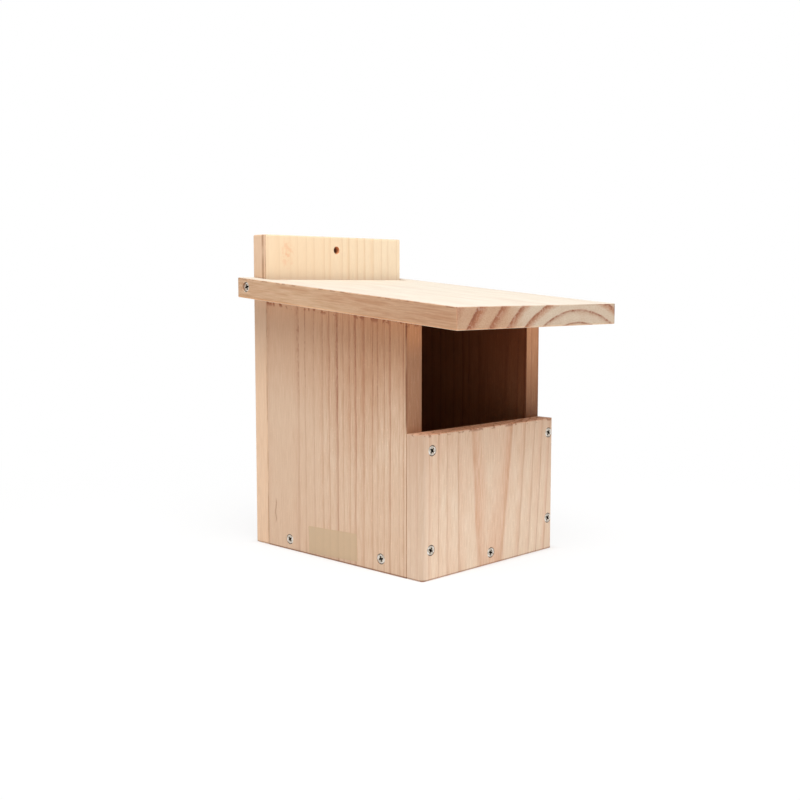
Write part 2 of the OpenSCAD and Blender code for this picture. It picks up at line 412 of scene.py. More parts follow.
def softwood_finish():
    """The node group that turns the ring masks into colour, roughness and height."""
    group, given, result = start_group("softwood finish", WOOD_INPUTS, ("Roughness", "Height"), ("Colour",))
    redness = remap(given["End"], 0.0, 1.0, given["Redness"], given["End Redness"], smooth=False)
    red = times_plus(given["Cloud"], 0.22, times(given["Flush"], redness))
    colour = mix_colour(calc("MINIMUM", red, 1.0), given["Spring"], given["Blush"])
    strength = remap(given["End"], 0.0, 1.0, given["Contrast"], given["End Contrast"], smooth=False)
    colour = mix_colour(times(given["Late"], strength), colour, given["Summer"])
    for mask, tint in (("Edge", "Edge Tint"), ("End", "End Tint")):
        colour = tint_colour(colour, given[tint], given[mask])

    sawn = calc("MAXIMUM", given["Edge"], given["End"])
    texture = times(given["Texture"], remap(sawn, 0.0, 1.0, 1.0, 2.2, smooth=False))
    colour = tint_colour(colour, MOTTLE_TINT, times(one_minus(given["Mottle"]), texture))
    light = remap(given["Fibre"], 0.0, 1.0, 0.95, 1.07, smooth=False)
    light = times_plus(times(given["Speck"], given["Texture"]), 0.16, light)
    plug(result["Colour"], scale_colour(colour, light))

    rough = times_plus(given["Fibre"], 0.10, 0.56)
    rough = times_plus(given["End"], 0.14, rough)
    plug(result["Roughness"], times_plus(given["Late"], -0.08, rough))
    relief = times_plus(given["Late"], 0.5, times(given["Fibre"], 0.55))
    plug(result["Height"], times_plus(given["Speck"], 0.4, relief))
    return group


SOFTWOOD = softwood_finish()
print("softwood finish:", len(SOFTWOOD.nodes), "nodes")

# %% [markdown]
# ## Dark inside
# Through the window the box is nearly black inside, far darker than bare pale wood would be under
# this light, so the faces that look into the chamber are painted dark brown: painted shade. A mask
# says where: it is 1 for a point inside the box that the chamber fills, and 0 a hair's breadth outside it.


# %% Mask of the chamber's faces
MARGIN = 0.0005


def chamber_mask():
    """The node group that tells the chamber's faces from the outside of the boards."""
    inputs = dict.fromkeys(("Position", "Low", "High"), (0, 0, 0))
    group, given, result = start_group("chamber mask", inputs, ("Inside",))
    above = vector_calc("SUBTRACT", given["Position"], given["Low"])
    below = vector_calc("SUBTRACT", given["High"], given["Position"])
    x, y, z = split(vector_calc("MINIMUM", above, below))
    least = calc("MINIMUM", calc("MINIMUM", x, y), z)
    plug(result["Inside"], remap(least, 0.0, 0.8 * MARGIN))
    return group


CHAMBER = chamber_mask()
floor_low, floor_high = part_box("floor_board")
side_low, side_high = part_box("left_side_panel")
chamber_low = (floor_low.x - MARGIN, floor_low.y - MARGIN, floor_high.z - MARGIN)
chamber_high = (floor_high.x + MARGIN, floor_high.y + MARGIN, side_high.z + MARGIN)
print("chamber from", in_mm(chamber_low), "to", in_mm(chamber_high), "mm")

# %% [markdown]
# ## One board
# Every board uses the two wood groups with its own log and colours, and the chamber's painted shade.
# A fine line of painted shade runs round the foot of the upright faces, where they meet the floor. A
# board may have something extra, such as the saw's marks or the roof's painted shade, which changes
# the colour before the chamber's painted shade.


# %% One board's material
CHAMBER_SHADE = (0.38, 0.21, 0.13, 1)
FOOT_SHADE_TINT = (0.45, 0.31, 0.26, 1)
FOOT_SHADE_BAND = (0.0007, 0.0014, 1.0, 0.0)
WOOD_GLOSS = 0.35
GRAIN_HEIGHT = 0.0006


def board_material(name, log, extra=None, **look):
    """Softwood cut from the log described, with painted shade on the chamber's faces and along the foot."""
    material, shader = start_material(name)
    coords = add_node("TexCoord").outputs
    place = coords["Object"]
    rings = use_group(RINGS, position=place, normal=coords["Normal"], **log)
    wood = use_group(SOFTWOOD, **{mask.lower(): rings[mask] for mask in RING_MASKS}, **look)
    colour = wood["Colour"]
    if extra:
        colour = extra(place, rings, colour)
    # A fine line of painted shade round the foot of the upright faces, where they meet the floor
    upright = one_minus(calc("ABSOLUTE", split(coords["Normal"])[2]))
    foot = times(remap(split(place)[2], *FOOT_SHADE_BAND), upright)
    colour = tint_colour(colour, FOOT_SHADE_TINT, foot)
    # The chamber's faces get painted shade, a dark brown
    inside = use_group(CHAMBER, position=place, low=chamber_low, high=chamber_high)
    plug(shader.inputs["Base Color"], tint_colour(colour, CHAMBER_SHADE, inside["Inside"]))
    plug(shader.inputs["Roughness"], wood["Roughness"])
    shader.inputs["Specular IOR Level"].default_value = WOOD_GLOSS
    add_bumps(shader, wood["Height"], 0.30, GRAIN_HEIGHT)
    return material


UP = (0, 0, 1)
TO_FRONT = (0, -1, 0)
TO_WALL = (0, 1, 0)
TO_LEFT = (-1, 0, 0)
TO_RIGHT = (1, 0, 0)
# The chamber's painted shade lets through this share of the red light
print("stain lets through", round(CHAMBER_SHADE[0] * 100), "% of the red light")

# %% [markdown]
# ## Under the roof
# The wood is painted darker and warmer where the roof shelters it, most of all at the front: painted
# shade of the roof. The saw also tore the side panels' top edges a little, which shows as small dark red
# marks where the late wood meets the edge. One node group gives both masks: Corner is a point of the
# sloping edge, Slope the direction that the edge faces, Plenty how many marks there are more than a
# few, Reach how far they go down and Shade how far the painted shade goes.


# %% Torn fibres along a sawn edge
def torn_edge():
    """The node group that marks where the saw tore the fibres along a sloping edge, and the roof's painted
    shade below it.
    """
    inputs = {"Position": (0, 0, 0), "Corner": (0, 0, 0), "Slope": (0, 0, 1),
              "Flush": 0.0, "Plenty": 0.0, "Reach": 6.0, "Shade": 85.0}
    group, given, result = start_group("torn edge", inputs, ("Mark", "Fade"))
    below = millimetres(given["Position"], given["Corner"], given["Slope"])
    near = remap(calc("DIVIDE", below, given["Reach"]), 0.45, 1.0, 1.0, 0.0)
    blots = calc("ADD", noise(given["Position"], 240.0, 1.0), given["Plenty"])
    marks = remap(times_plus(given["Flush"], 0.10, blots), 0.57, 0.63)
    plug(result["Mark"], times(near, marks))
    plug(result["Fade"], remap(below, 0.0, given["Shade"], 1.0, 0.0))
    return group


def sloping_top(node):
    """The widest face of a board that looks up a slope: a point on it and its direction."""
    mesh = nodes[node].data
    sloping = [face for face in mesh.polygons if 0.5 < face.normal.z < 0.9999]
    widest = max(sloping, key=lambda face: face.area)
    return widest.center.copy(), widest.normal.copy()


TORN = torn_edge()
TORN_RED = (0.34, 0.125, 0.06, 1)
side_corner, roof_up = sloping_top("left_side_panel")


def under_roof(place, **more):
    """The two masks for the side panels' top edges, and for the painted shade of the roof that lies on them.
    """
    return use_group(TORN, position=place, corner=side_corner, slope=roof_up, **more)


print("the roof slopes", round(math.degrees(math.atan2(-roof_up.y, roof_up.z)), 2), "degrees")

# %% [markdown]
# A fine dark line, broken here and there, shows where one board meets the next and along some corners.


# %% A line where two boards meet
def joint_line():
    """The node group that marks a thin line round a plane: Point lies on it and Direction crosses it."""
    inputs = {"Position": (0, 0, 0), "Point": (0, 0, 0), "Direction": (0, 1, 0), "Width": 0.8}
    group, given, result = start_group("joint line", inputs, ("Line",))
    distance = calc("ABSOLUTE", millimetres(given["Point"], given["Position"], given["Direction"]))
    line = remap(calc("DIVIDE", distance, given["Width"]), 0.35, 1.0, 1.0, 0.0)
    patchy = remap(noise(given["Position"], 45.0), 0.35, 0.62, 0.25, 1.0)
    plug(result["Line"], times(line, patchy))
    return group


JOINT = joint_line()
JOINT_TINT = (0.50, 0.36, 0.28, 1)


def darken_joint(place, colour, point, direction, width=0.8, share=1.0):
    """The colour with a fine dark line along a joint."""
    line = use_group(JOINT, position=place, point=point, direction=direction, width=width)
    return tint_colour(colour, JOINT_TINT, times(line["Line"], share))


print("joint lines ready")

# %% [markdown]
# ## Front panel
# The front panel was sawn near the side of its log. Its lines stand in pairs left and right of the
# middle: two broad reddish bands near it, then thinner lines that crowd towards the edges. The pairs
# draw together towards the foot, so the heart, 90 mm behind the face, goes a little deeper downwards,
# and they lean a little to the right going up. The lines are quieter at the panel's two ends, where
# the rounded corners have painted shade on the left and painted light on the right, as they look in
# the photograph. The saw tore its top edge as well, and the roof's painted shade darkens it a little
# towards its top.

# %% Front panel
front_low, front_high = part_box("front_panel")
LEAN = math.radians(1.9)
FRONT_ROOF_SHADE = (0.77, 0.64, 0.56, 1)
FRONT_SHADE = 165.0
QUIET_WOOD = (0.765, 0.57, 0.425, 1)
QUIET_ENDS = (0.060, 0.070, 0.0, 0.6)
CORNER_SHADE_AND_LIGHT = 0.28
END_LINE = (front_low.x, -0.0672, 0.0)


def with_quiet_ends(place, rings, colour):
    """The front panel's colour: quiet at its ends, with painted shade and light on its corners, torn along
    its top and with the roof's painted shade up there.
    """
    quiet = remap(calc("ABSOLUTE", split(place)[0]), *QUIET_ENDS)
    colour = mix_colour(quiet, colour, QUIET_WOOD)
    # Painted shade on the left rounded corner and painted light on the right one
    facing = split(add_node("TexCoord").outputs["Normal"])
    turned = times(facing[0], calc("ABSOLUTE", facing[1]))
    colour = scale_colour(colour, times_plus(turned, CORNER_SHADE_AND_LIGHT, 1.0))
    torn = use_group(TORN, position=place, corner=front_high, slope=UP, reach=2.4, flush=rings["Flush"])
    colour = mix_colour(times(torn["Mark"], 0.6), colour, TORN_RED)
    colour = darken_joint(place, colour, END_LINE, TO_WALL, width=0.9, share=times(rings["Edge"], 0.6))
    # The roof's painted shade, a little darker towards the top
    return tint_colour(colour, FRONT_ROOF_SHADE, under_roof(place, shade=FRONT_SHADE)["Fade"])


front_log = dict(
    pith=(0.0007, front_low.y, front_high.z), bark=TO_FRONT,
    across=(math.cos(LEAN), 0, -math.sin(LEAN)), grain=(math.sin(LEAN), 0, math.cos(LEAN)),
    depth=90.0, taper=-0.020, first_ring=3.1, ring_width=4.8, uneven=0.25, wander=0.5, seed=6.46)
# Its end tint is above 1: painted light on its end grain, most seen on the top edge
front_wood = board_material(
    "front panel wood", front_log, with_quiet_ends, spring=(0.86, 0.70, 0.55, 1),
    summer=(0.52, 0.29, 0.17, 1), blush=(0.75, 0.43, 0.275, 1), edge_tint=(0.97, 0.95, 0.95, 1),
    end_tint=(1.22, 1.03, 0.98, 1), contrast=0.47, redness=0.57, texture=0.8)
finish("front_panel", front_wood)
print("front panel's heart lies", front_log["depth"], "mm behind its face")

# %% [markdown]
# ## Side panels
# The side panels are closer grained and redder. The heart lies near the wall, where the lines stand
# apart, and they run upright towards the front. They are quieter near the wall and near the foot.
# The roof's painted shade reaches furthest down a little behind the front corner, and most of the torn
# marks are near the front. The edges beside the window have painted light just under the roof and
# painted shade at their foot, most of all on the right. A fine dark line shows where a board meets
# the next one, at each end of a side panel, and beside the window. The left panel has one short wavy
# streak low down near the wall.


# %% Side panels
SIDE_ROOF_SHADE = (0.72, 0.505, 0.37, 1)
QUIET_SIDE = (0.72, 0.50, 0.345, 1)
# Painted shade at the foot and painted light at the top of the edges beside the window
WINDOW_FOOT_SHADE_LEFT = (0.81, 0.76, 0.74, 1)
WINDOW_FOOT_SHADE_RIGHT = (0.46, 0.34, 0.22, 1)
WINDOW_TOP_LIGHT_LEFT = (1.06, 0.93, 0.80, 1)
WINDOW_TOP_LIGHT_RIGHT = (1.21, 1.15, 1.08, 1)

# Each ramp says between which two places it runs, in metres, and what it gives there if not 0 and 1
RIGHT_PANEL = (-0.010, 0.010)
QUIET_REAR = (0.020, 0.050, 0.0, 0.5)
QUIET_FOOT = (0.040, 0.100, 0.28, 0.0)
SHADE_FRONT = (-0.036, -0.014, 95.0, 130.0)
SHADE_REAR = (-0.045, 0.085, 138.0, 92.0)
ROOF_SHADE_SHARE = (-0.045, 0.085, 1.0, 0.62)
MORE_MARKS = (0.010, -0.040, 0.0, 0.07)
REAR_LINE = (0.060, 0.120, 1.0, 0.1)

# How high the painted light starts on the left and the right edge beside the window, and where
# both stop lightening
LIGHTENS_FROM = (0.148, 0.086)
LIGHTENS_TO = 0.168

# The dots in the late lines, and the wavy streak: how far it sways, and its ends and sides in millimetres
DOT_GRAIN = (700, 700, 260)
STREAK = Vector((side_low.x, 0.0865, 0.028))
STREAK_SWAY = 3.0
STREAK_ENDS = (6.0, 11.0, 0.45, 0.0)
STREAK_SIDES = (0.3, 1.1, 1.0, 0.0)

# The front joint's line below the window and beside it
JOINT_SHARE = (0.25, 1.0)
JOINT_MM = (0.8, 1.7)


def window_edge_light_and_shade(right, z):
    """The painted light and shade of the edges beside the window, darkest at the foot of the right one."""
    foot = mix_colour(right, WINDOW_FOOT_SHADE_LEFT, WINDOW_FOOT_SHADE_RIGHT)
    top = mix_colour(right, WINDOW_TOP_LIGHT_LEFT, WINDOW_TOP_LIGHT_RIGHT)
    upward = remap(z, remap(right, 0.0, 1.0, *LIGHTENS_FROM), LIGHTENS_TO)
    return mix_colour(upward, foot, top)


def wavy_streak(place, z):
    """The mask of the short wavy streak."""
    sway = calc("SUBTRACT", noise_along(times(z, 130.0), 0.0), 0.5)
    sideways = times_plus(sway, STREAK_SWAY, millimetres(STREAK, place, TO_WALL))
    upwards = millimetres(STREAK, place, UP)
    across = remap(calc("ABSOLUTE", sideways), *STREAK_SIDES)
    return times(remap(calc("ABSOLUTE", upwards), *STREAK_ENDS), across)


def with_torn_edge(place, rings, colour):
    """The side panel's colour with the roof's painted shade, its window edges' painted light and shade,
    its torn marks and the lines at its two joints.
    """
    x, y, z = split(place)
    not_edge = one_minus(rings["Edge"])
    on_face = times(not_edge, one_minus(rings["End"]))
    quiet = calc("MAXIMUM", remap(y, *QUIET_REAR), remap(z, *QUIET_FOOT))
    colour = mix_colour(times(quiet, on_face), colour, QUIET_SIDE)
    # The roof's painted shade, which reaches furthest a little behind the front corner
    shade = calc("MINIMUM", remap(y, *SHADE_FRONT), remap(y, *SHADE_REAR))
    torn = under_roof(place, flush=rings["Flush"], plenty=remap(y, *MORE_MARKS), shade=shade)
    share = times(torn["Fade"], not_edge, remap(y, *ROOF_SHADE_SHARE))
    colour = tint_colour(colour, SIDE_ROOF_SHADE, share)

    # Painted light and shade on the edges beside the window
    right = remap(x, *RIGHT_PANEL)
    colour = tint_colour(colour, window_edge_light_and_shade(right, z), rings["Edge"])

    # Torn marks along the top, dotted late lines, and the wavy streak on the left panel only
    dots = noise(vector_calc("MULTIPLY", place, DOT_GRAIN), 1.0, 1.0)
    dotted = times(rings["Late"], torn["Fade"], remap(dots, 0.50, 0.60), 0.95)
    for mask in (torn["Mark"], dotted, times(wavy_streak(place, z), one_minus(right))):
        colour = mix_colour(mask, colour, TORN_RED)

    # The lines at the two joints
    beside_window = remap(z, front_high.z - 0.001, front_high.z + 0.001)
    outer = remap(calc("ABSOLUTE", x), -side_low.x - 0.0009, -side_low.x - 0.0003)
    outer = times(outer, remap(beside_window, 0.0, 1.0, *JOINT_SHARE))
    width = remap(beside_window, 0.0, 1.0, *JOINT_MM)
    colour = darken_joint(place, colour, side_low, TO_WALL, width, outer)
    low_down = times(on_face, remap(z, *REAR_LINE))
    return darken_joint(place, colour, side_high, TO_WALL, share=low_down)


SIDE_LOOK = dict(
    spring=(0.81, 0.62, 0.465, 1), summer=(0.38, 0.135, 0.065, 1), blush=(0.64, 0.36, 0.22, 1),
    edge_tint=(0.72, 0.55, 0.45, 1), contrast=0.65, redness=0.45, texture=1.0)
left_log = dict(
    pith=(side_low.x, 0.078, 0.0), across=TO_FRONT, bark=TO_LEFT, grain=UP,
    depth=25.0, taper=0.004, first_ring=0.6, ring_width=6.7, uneven=1.6, wander=1.3, seed=0.57)
right_log = dict(
    pith=(-side_low.x, -0.020, 0.0), across=TO_FRONT, bark=TO_RIGHT, grain=UP,
    depth=60.0, taper=-0.006, first_ring=1.5, ring_width=5.5, uneven=1.6, wander=1.0, seed=0.83)
finish("left_side_panel", board_material("left side wood", left_log, with_torn_edge, **SIDE_LOOK))
finish("right_side_panel", board_material("right side wood", right_log, with_torn_edge, **SIDE_LOOK))
print("side panels' rings are", left_log["ring_width"], "and", right_log["ring_width"], "mm wide")

# %% [markdown]
# ## Back board
# The back board is the palest upright board, cream yellow, with faint straight lines about 9 mm
# apart, fainter on the left. Lines so nearly even come from a heart far to one side of the board. It
# also has a warm blotch left of the hole, the redder bare wood of the drilled hole's wall with painted
# shade deep inside, and a thin dark line along its front corners. Its two edges have the roof's
# painted shade below it, and a soft dark streak above it.

# %% Back board
back_low, back_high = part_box("back_board")
BLOTCH = Vector((-0.051, back_low.y, 0.224))
BLOTCH_MM = (9, 6, 15)
BLOTCH_RED = (0.86, 0.46, 0.24, 1)
HOLE = Vector((0.0, back_low.y, 0.2275))
HOLE_R = 3.0
HOLE_WALL = (0.88, 0.40, 0.19, 1)
HOLE_DEEP_SHADE = (0.16, 0.06, 0.03, 1)
CREAM_WOOD = (0.92, 0.73, 0.52, 1)
QUIET_LEFT = (-0.045, 0.020, 0.5, 0.0)
BACK_ROOF_SHADE = (0.78, 0.74, 0.73, 1)
BACK_LEFT_TINT = (1.00, 0.98, 0.95, 1)
BACK_RIGHT_TINT = (1.01, 1.04, 1.06, 1)
EDGE_STREAK = (back_low.x, back_low.y + 0.0035, 0.0)


def with_hole_and_blotch(place, rings, colour):
    """The back board's colour with its blotch, its hole's wall with painted shade deep inside, the roof's
    painted shade on its edges and its dark corner.
    """
    x, y, z = split(place)
    on_face = one_minus(rings["Edge"])
    colour = mix_colour(times(remap(x, *QUIET_LEFT), on_face), colour, CREAM_WOOD)
    slow = mix_colour(remap(x, -0.060, 0.060), BACK_LEFT_TINT, BACK_RIGHT_TINT)
    colour = tint_colour(colour, slow, on_face)

    # The blotch, and the wall of the hole, with painted shade deep inside
    from_blotch = vector_calc("SUBTRACT", place, BLOTCH)
    steps = vector_calc("MULTIPLY", from_blotch, [1000 / size for size in BLOTCH_MM])
    near = remap(vector_calc("LENGTH", steps), 0.2, 1.0, 1.0, 0.0)
    blotch = times(near, remap(noise(place, 300.0), 0.42, 0.66, 0.1, 0.65))
    colour = mix_colour(blotch, colour, BLOTCH_RED)
    from_hole = vector_calc("MULTIPLY", vector_calc("SUBTRACT", place, HOLE), (1000, 0, 1000))
    wall = remap(vector_calc("LENGTH", from_hole), HOLE_R + 0.02, HOLE_R + 0.12, 1.0, 0.0)
    deep = remap(y, back_low.y + 0.0015, back_low.y + 0.0055)
    colour = mix_colour(wall, colour, mix_colour(deep, HOLE_WALL, HOLE_DEEP_SHADE))

    # The two edges: painted shade below the roof, a streak above it, and a line along the front corners
    below_roof = remap(z, side_high.z, side_high.z + 0.001, 1.0, 0.0)
    edge_roof_shade = times(under_roof(place)["Fade"], rings["Edge"], below_roof)
    colour = tint_colour(colour, BACK_ROOF_SHADE, edge_roof_shade)
    above_roof = times(rings["Edge"], one_minus(below_roof), 0.7)
    colour = darken_joint(place, colour, EDGE_STREAK, TO_WALL, width=1.7, share=above_roof)
    return darken_joint(place, colour, back_low, TO_WALL, width=1.1, share=times(rings["Edge"], 0.75))


back_log = dict(
    pith=(-0.200, back_low.y, 0.0), across=TO_RIGHT, bark=TO_FRONT, grain=UP,
    depth=45.0, taper=0.006, first_ring=5.5, ring_width=8.9, uneven=1.2, wander=0.8, seed=0.12)
back_wood = board_material(
    "back board wood", back_log, with_hole_and_blotch, spring=(0.94, 0.755, 0.545, 1),
    summer=(0.66, 0.45, 0.25, 1), blush=(0.88, 0.64, 0.41, 1), edge_tint=(0.93, 0.82, 0.79, 1),
    contrast=0.40, redness=0.65, texture=0.2)
finish("back_board", back_wood)
beyond_edge = (back_low.x - back_log["pith"][0]) * 1000
print("back board's heart lies", round(beyond_edge, 1), "mm beyond its left edge")

# %% [markdown]
# ## Roof
# The roof's front edge is end grain, because its grain runs down the slope. The rings cross it as
# slanting bands on the left and as a low arch near the right end, just under the top face, with the
# heart 91 mm below that face. They are wide rings, from a fast-grown tree, and get wider outwards. On
# the pale top the same rings are faint. The saw left dark flecks in the rings of the end grain, long
# soft streaks on the two sides and a broken dark line along the upper edges. The lower edges have a
# thin lip of painted light.

# %% Roof board
roof_grain = (0, roof_up.z, -roof_up.y)
roof_centre = sloping_top("roof_board")[0]
roof_low, roof_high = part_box("roof_board")
to_front_end = (roof_low.y - roof_centre.y) / roof_grain[1]
roof_pith = roof_centre + to_front_end * Vector(roof_grain)
ROOF_THICK = 15.0
LIP_LIGHT_TINT = (1.26, 1.16, 1.06, 1)
LEFT_TINT = (0.86, 0.75, 0.69, 1)
RIGHT_TINT = (0.99, 1.09, 1.18, 1)
FRONT_TINT = (0.84, 0.76, 0.73, 1)
DARK_FLECK = (0.25, 0.09, 0.05, 1)
PALE_FLECK = (0.62, 0.46, 0.36, 1)
STREAK_TINT = (0.84, 0.72, 0.62, 1)

# Where marks start and where they are whole: across and along the roof in metres, and below its top in
# millimetres
AWAY_FROM_LEFT = (-0.042, -0.010)
NEAR_RIGHT = (0.030, 0.060)
NEAR_FRONT = (0.06, -0.10)
UPPER_LINE = (1.7, 0.8)
LIP_LIGHT_BAND = (ROOF_THICK - 1.5, ROOF_THICK - 0.7)


def with_saw_marks(place, rings, colour):
    """The roof's colour, redder at its front left corner, with the saw's flecks, streaks and edges, and a
    lip of painted light.
    """
    x, y = split(place)[:2]
    across = mix_colour(remap(x, *AWAY_FROM_LEFT), LEFT_TINT, RIGHT_TINT)
    colour = tint_colour(colour, across, rings["End"])
    colour = tint_colour(colour, FRONT_TINT, times(rings["Edge"], remap(y, *NEAR_FRONT)))

    # Flecks in the end grain, and streaks that follow the grain along the sides
    flecks = noise(place, 520.0)
    ringed = times(calc("MAXIMUM", rings["Late"], times(rings["Flush"], 0.7)), rings["End"])
    dark = times(ringed, remap(flecks, 0.52, 0.60, 0.0, 0.65))
    pale = times(ringed, remap(flecks, 0.40, 0.48, 0.60, 0.0))
    colour = mix_colour(pale, mix_colour(dark, colour, DARK_FLECK), PALE_FLECK)
    below = millimetres(place, roof_centre, roof_up)
    along = millimetres(place, roof_centre, roof_grain)
    streaks = stretched_noise((below, times(x, 1000.0), along), (3, 3, 38))
    streak = times(remap(streaks, 0.45, 0.70, 0.0, 0.65), rings["Edge"])
    colour = tint_colour(colour, STREAK_TINT, streak)

    # The broken line along the upper edges, the line at the right end and the painted light on the lip
    # along the lower edges
    broken = stretched_noise((below, x, along), (3, 3, 7))
    rightward = times(rings["End"], remap(x, *NEAR_RIGHT))
    upper = times(remap(below, *UPPER_LINE), remap(broken, 0.50, 0.58),
                  calc("MAXIMUM", rings["Edge"], rightward), 0.6)
    colour = tint_colour(colour, JOINT_TINT, upper)
    colour = darken_joint(place, colour, roof_high, TO_RIGHT, width=2.2, share=rings["End"])
    return tint_colour(colour, LIP_LIGHT_TINT, remap(below, *LIP_LIGHT_BAND))


roof_log = dict(
    pith=(0.042, roof_pith.y, roof_pith.z), across=TO_RIGHT, bark=roof_up, grain=roof_grain,
    depth=91.2, taper=-0.020, first_ring=-3.4, ring_width=10.0, widening=0.9, uneven=0.2, wander=1.2,
    seed=6.49)
roof_wood = board_material(
    "roof wood", roof_log, with_saw_marks, spring=(0.725, 0.68, 0.585, 1), summer=(0.38, 0.19, 0.115, 1),
    blush=(0.54, 0.31, 0.20, 1), edge_tint=(0.99, 0.73, 0.555, 1), end_tint=(0.94, 0.77, 0.655, 1),
    contrast=0.08, end_contrast=1.15, redness=0.08, end_redness=1.5, texture=0.45)
finish("roof_board", roof_wood)
print("roof's grain runs", [round(v, 3) for v in roof_grain])

# %% [markdown]
# ## Floor board
# The floor board lies inside the four walls and can be seen from below, and through the window. It
# has the side panels' colours, with its grain from front to back.

# %% Floor board
floor_log = dict(
    pith=(0.015, 0.0, floor_low.z), across=TO_RIGHT, bark=(0, 0, -1), grain=TO_WALL,
    depth=50.0, taper=0.01, first_ring=2.0, ring_width=6.0, uneven=0.8, wander=1.0, seed=0.71)
finish("floor_board", board_material("floor wood", floor_log, **SIDE_LOOK))
print("floor board is", round((floor_high.z - floor_low.z) * 1000, 1), "mm thick")

# %% [markdown]
# ## Label
# A thin, bare, matt film is stuck near the foot of the left side. It follows the wood so closely
# that the panel's lines show through it faintly, so the film uses the panel's own rings.

# %% Label
FILM_DARK = (0.59, 0.42, 0.26, 1)
FILM_LIGHT = (0.64, 0.455, 0.285, 1)
FILM_LINE = (0.42, 0.26, 0.15, 1)
FILM_HEIGHT = 0.0004

material, shader = start_material("bare label film")
coords = add_node("TexCoord").outputs
rings = use_group(RINGS, position=coords["Object"], normal=coords["Normal"], **left_log)
mottle = noise(coords["Object"], 260.0, 3.0)
film = mix_colour(mottle, FILM_DARK, FILM_LIGHT)
shown = times_plus(rings["Flush"], 0.10, times(rings["Late"], 0.16))
plug(shader.inputs["Base Color"], mix_colour(shown, film, FILM_LINE))
plug(shader.inputs["Roughness"], remap(mottle, 0.3, 0.7, 0.40, 0.55))
add_bumps(shader, rings["Fibre"], 0.12, FILM_HEIGHT)
finish("blank_label", material)
label_low, label_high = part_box("blank_label")
print("label:", in_mm(label_high - label_low), "mm")

# %% [markdown]
# ## Wood screws
# The screws are countersunk, with a cross cut in the head, a plain shank and a thread. The part has
# them as plain solids, so each is replaced by a finished screw in the same place. One screw is
# modelled and used eighteen times, each turned by a different amount, because a hand never stops two
# screws alike. The body is a stack of rings of points round the axis, which gives the rounded rim,
# the cone and the shank. On the threaded part each point's distance from the axis follows the
# thread's profile, which moves along by one pitch in a full turn. A screw has its head's face at its
# own origin and points down, so its place and its finish are easy to give.

# %% Size of a screw
screw_low, screw_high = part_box("left_screw_front")
SCREW_LONG = screw_high.x - screw_low.x
HEAD_R = (screw_high.y - screw_low.y) / 2
SHANK_R = 0.0020
CORE_R = 0.00135
RIM = 0.0003
PLAIN = 0.4 * SCREW_LONG
POINT = 0.0045
PITCH = 0.0018
FLANK = 0.28
TIP_GAP = 0.0003
print("screw:", round(SCREW_LONG * 1000, 1), "mm long, head", round(HEAD_R * 2000, 2), "mm across")


# %% Body of a screw
def thread_radius(depth, turn):
    """The thread's distance from the axis: flat core, sloping flanks and a narrow crest."""
    phase = (depth / PITCH - turn / (2 * math.pi)) % 1.0
    crest = max(0.0, 1.0 - abs(phase - 0.5) / FLANK)
    start = min(1.0, max(0.0, (depth - PLAIN) / PITCH))
    left = min(1.0, max(0.0, (SCREW_LONG - depth) / POINT))
    core = CORE_R + (SHANK_R - CORE_R) * (1.0 - start)
    return (core + (SHANK_R - core) * crest) * left


def screw_rings(sides):
    """Rings of points from the head's face to just above the tip: depth and radius round the axis."""
    curve = [(RIM * (1 - math.cos(a)), HEAD_R - RIM * (1 - math.sin(a)))
             for a in (math.radians(18 * step) for step in range(6))]
    neck = RIM + HEAD_R - SHANK_R
    plain = [(0.0, HEAD_R * 0.72)] + curve + [(neck, SHANK_R), (neck + 0.001, SHANK_R), (PLAIN, SHANK_R)]
    rings = [(depth, [radius] * sides) for depth, radius in plain]
    steps = round((SCREW_LONG - TIP_GAP - PLAIN) / (PITCH / 6))
    for step in range(1, steps + 1):
        depth = PLAIN + step * PITCH / 6
        rings.append((depth, [thread_radius(depth, 2 * math.pi * side / sides) for side in range(sides)]))
    return rings


def screw_body(sides=24):
    """The screw without its cross, as a closed mesh."""
    build = bmesh.new()
    angles = [2 * math.pi * side / sides for side in range(sides)]
    rows = []
    for depth, radii in screw_rings(sides):
        points = [(r * math.cos(a), r * math.sin(a), -depth) for r, a in zip(radii, angles)]
        rows.append([build.verts.new(point) for point in points])
    for upper, lower in zip(rows, rows[1:]):
        for side in range(sides):
            after = (side + 1) % sides
            build.faces.new((upper[side], lower[side], lower[after], upper[after]))
    build.faces.new(rows[0])
    tip = build.verts.new((0, 0, -SCREW_LONG))
    for side in range(sides):
        build.faces.new((rows[-1][side], tip, rows[-1][(side + 1) % sides]))
    mesh = bpy.data.meshes.new("wood_screw")
    build.to_mesh(mesh)
    build.free()
    return mesh


print("thread:", round((SCREW_LONG - PLAIN) / PITCH, 1), "turns")

# %% [markdown]
# The cross is cut with two tapered blades and a pointed pit, by Boolean modifiers whose result is
# baked into the mesh, so that the finished screw is plain geometry.

# %% Cross in the head
CROSS_SPAN = 0.0047
CROSS_WIDE = 0.00120
CROSS_DEEP = 0.0022
ABOVE_HEAD = 0.0004
BLADE_FOOT = (0.0018, CROSS_WIDE * 0.55)
PIT_TOP = (0.0025, 0.0025)
PIT_FOOT = (0.0009, 0.0009)


def tapered_cutter(name, top, foot, turn=0.0):
    """A cutter with a rectangular top above the head and a smaller foot at the cross's depth."""
    build = bmesh.new()
    bmesh.ops.create_cube(build, size=2.0)
    for vert in build.verts:
        reach = top if vert.co.z > 0 else foot
        level = ABOVE_HEAD if vert.co.z > 0 else -CROSS_DEEP
        vert.co = (vert.co.x * reach[0] / 2, vert.co.y * reach[1] / 2, level)
    bmesh.ops.rotate(build, verts=build.verts, matrix=Matrix.Rotation(turn, 3, "Z"))
    mesh = bpy.data.meshes.new(name)
    build.to_mesh(mesh)
    build.free()
    return bpy.data.objects.new(name, mesh)


